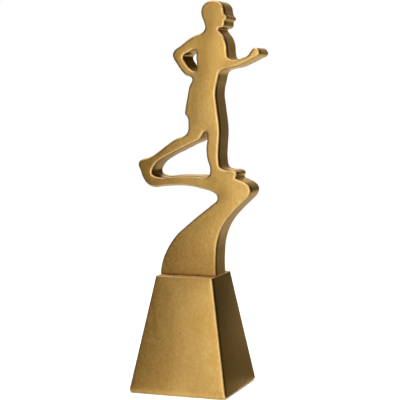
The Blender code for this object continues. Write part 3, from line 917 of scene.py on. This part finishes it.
def aged_and_shaded_tone(g, tone, patterns, patina_and_shade, deep_shade):
    """That colour under the broad painted shade, the patina with its painted shade and the
    near-black painted shade, and pale again where it is worn, partly as a painted highlight.
    """
    speckle = g.span(patterns["grain"], *BROAD_SHADE_SPECKLE)
    # Broad painted shade, speckled by the grain.
    tone = g.mix(g.math("MULTIPLY", g.attribute("broad_shade"), speckle), tone, BROAD_SHADE_TONE)
    # Patina, partly painted shade.
    tone = g.mix(patina_and_shade, tone, PATINA_AND_SHADE_TONE)
    # Near-black painted shade.
    tone = g.mix(deep_shade, tone, DEEP_SHADE_TONE)
    # Pale worn metal, partly a painted highlight.
    worn_sheen = g.math("MULTIPLY", g.attribute("wear_and_sheen"), g.span(patterns["mottle"], *WORN_SHEEN_SPECKLE))
    return g.mix(worn_sheen, tone, WORN_SHEEN_TONE)


def felt():
    """Black felt with a fine fibrous nap."""
    material, g = new_material("black_felt_fibres")
    fibres = g.noise(g.place(), scale=1400, detail=5, roughness=0.7)
    normal = g.bump(fibres, distance=0.2 * MM)
    g.surface(g.mix(fibres, *FELT_TONES), roughness=0.95, metallic=0.0, normal=normal)
    return material


def plated(name, dark, light, roughness):
    """Small metal parts: cloudy plating with fine scratches."""
    material, g = new_material(name)
    place = g.place()
    clouds = g.noise(place, scale=350, detail=4, roughness=0.6)
    along_y = g.stretch(place, (1.0, 0.15, 1.0))
    scratches = g.noise(along_y, scale=2200, detail=3, roughness=0.6)
    smoothest, roughest = roughness - 0.06, roughness + 0.08
    rough = g.span(scratches, low=0.3, high=0.7, to_low=smoothest, to_high=roughest)
    normal = g.bump(scratches, distance=0.01 * MM)
    g.surface(g.mix(clouds, dark, light), rough, metallic=1.0, normal=normal)
    return material


def iron():
    """Sand-cast iron with a grainy dark skin."""
    material, g = new_material("cast_iron_skin")
    place = g.place()
    grain = g.noise(place, scale=900, detail=6, roughness=0.7)
    patches = g.noise(place, scale=90, detail=3, roughness=0.5)
    rough = g.span(grain, low=0.3, high=0.7, to_low=0.6, to_high=0.8)
    normal = g.bump(grain, distance=0.25 * MM)
    g.surface(g.mix(patches, *IRON_TONES), rough, metallic=0.7, normal=normal)
    return material


def dress_nodes(materials):
    """Give each CAD node the material of its slot."""
    slots = {part["node"]: part["material_slot"] for part in frame["record"]["subparts"]}
    for name, thing in frame["nodes"].items():
        thing.data.materials.clear()
        thing.data.materials.append(materials[slots[name]])


# ---- stage ----
def build_world():
    """A studio that only reflections and shading see, and plain white for the camera."""
    world = bpy.data.worlds.new("studio")
    bpy.context.scene.world = world
    world.use_nodes = True
    g = Graph(world.node_tree)
    axes = g.axes(g.add("ShaderNodeTexCoord").outputs["Generated"])
    azimuth = g.math("DEGREES", g.math("ARCTAN2", axes["X"], g.math("MULTIPLY", axes["Y"], -1.0)))
    height = g.math("DEGREES", g.math("ARCSINE", axes["Z"]))
    wall = g.math("MULTIPLY", g.ramp(azimuth, STUDIO_RING), g.ramp(height, STUDIO_HEIGHT))
    wall = g.math("ADD", wall, g.ramp(height, CEILING))
    above = g.span(axes["Z"], *GROUND_BLEND)
    brightness = g.mix_numbers(above, GROUND, wall)
    studio = g.add("ShaderNodeBackground", {"Color": STUDIO_TINT, "Strength": brightness})
    seen = g.add("ShaderNodeBackground", {"Color": WHITE, "Strength": 1.0})
    ray = g.add("ShaderNodeLightPath").outputs["Is Camera Ray"]
    mixed = g.add("ShaderNodeMixShader", {0: ray, 1: studio.outputs[0], 2: seen.outputs[0]})
    g.add("ShaderNodeOutputWorld", {"Surface": mixed.outputs[0]})


def floor_material():
    """Pale paint that fades out with distance, and glows in the metal's reflections."""
    material, g = new_material("pale_floor")
    place = g.place()
    tone = g.mix(g.noise(place, scale=30, detail=3, roughness=0.5), *FLOOR_TONES)
    axes = g.axes(place)
    shine = g.math("MULTIPLY", g.ramp(axes["Y"], FLOOR_GLOW), g.span(axes["X"], *FLOOR_DIM_SIDE))
    glow = g.add("ShaderNodeEmission", {"Strength": shine})
    mirrored = g.add("ShaderNodeLightPath").outputs["Is Glossy Ray"]
    paint = g.add("ShaderNodeBsdfDiffuse", {"Color": tone})
    paint = g.add("ShaderNodeMixShader", {0: mirrored, 1: paint.outputs[0], 2: glow.outputs[0]})
    clear = g.add("ShaderNodeBsdfTransparent")
    away = g.add("ShaderNodeVectorMath", {0: place}, operation="LENGTH").outputs["Value"]
    fade = g.span(away, *FLOOR_FADE)
    mixed = g.add("ShaderNodeMixShader", {0: fade, 1: paint.outputs[0], 2: clear.outputs[0]})
    g.add("ShaderNodeOutputMaterial", {"Surface": mixed.outputs[0]})
    return material


def build_floor():
    """A round floor that fades into the white surroundings."""
    bm = bmesh.new()
    bmesh.ops.create_circle(bm, cap_ends=True, radius=FLOOR_RADIUS, segments=FLOOR_STEPS)
    mesh = bpy.data.meshes.new("floor")
    bm.to_mesh(mesh)
    bm.free()
    mesh.materials.append(floor_material())
    floor = bpy.data.objects.new("floor", mesh)
    bpy.context.scene.collection.objects.link(floor)


def area_light(name, width, height, brightness, place, target):
    """A softbox that shines from its place towards a target and stays out of sight."""
    data = bpy.data.lights.new(name, "AREA")
    data.shape = "RECTANGLE"
    data.size = width
    data.size_y = height
    data.energy = brightness * pi * width * height
    light = bpy.data.objects.new(name, data)
    light.location = place
    light.rotation_euler = (Vector(place) - Vector(target)).to_track_quat("Z", "Y").to_euler()
    light.visible_camera = False
    bpy.context.scene.collection.objects.link(light)
    return light


def build_lights():
    """A row of cards that face the trophy, and an overhead box that no reflection shows."""
    for name, left, right, brightness, tint in CARDS:
        centre = Vector(((left + right) / 2, -CARD_DISTANCE, CARD_CENTRE))
        ahead = centre + Vector((0, 1, 0))
        card = area_light(name, right - left, CARD_HEIGHT, brightness, centre, ahead)
        card.data.color = tint
    overhead = area_light(
        "overhead", OVERHEAD_SIZE, OVERHEAD_SIZE, OVERHEAD_BRIGHTNESS,
        (0, 0, OVERHEAD_HEIGHT), (0, 0, 0),
    )
    overhead.visible_glossy = False


def build_camera():
    data = bpy.data.cameras.new("camera")
    data.lens = CAMERA_LENS
    data.sensor_width = CAMERA_SENSOR
    camera = bpy.data.objects.new("camera", data)
    back = Vector((
        sin(CAMERA_AZIMUTH) * cos(CAMERA_PITCH), -cos(CAMERA_AZIMUTH) * cos(CAMERA_PITCH),
        sin(CAMERA_PITCH),
    ))
    camera.location = CAMERA_PLACE
    camera.rotation_euler = back.to_track_quat("Z", "Y").to_euler()
    bpy.context.scene.collection.objects.link(camera)
    bpy.context.scene.camera = camera


def build_stage():
    build_world()
    build_floor()
    build_lights()
    build_camera()
    bpy.context.scene.view_settings.view_transform = "Standard"


brass = antique_brass()
dress_nodes({
    "antique_brass": brass,
    "plain_brass": plated("plain_brass_turned", *TURNED_BRASS),
    "zinc_steel": plated("zinc_steel_plated", *ZINC_PLATING),
    "cast_iron": iron(),
    "black_felt": felt(),
})
build_plate(brass)
build_base(brass)
build_stage()
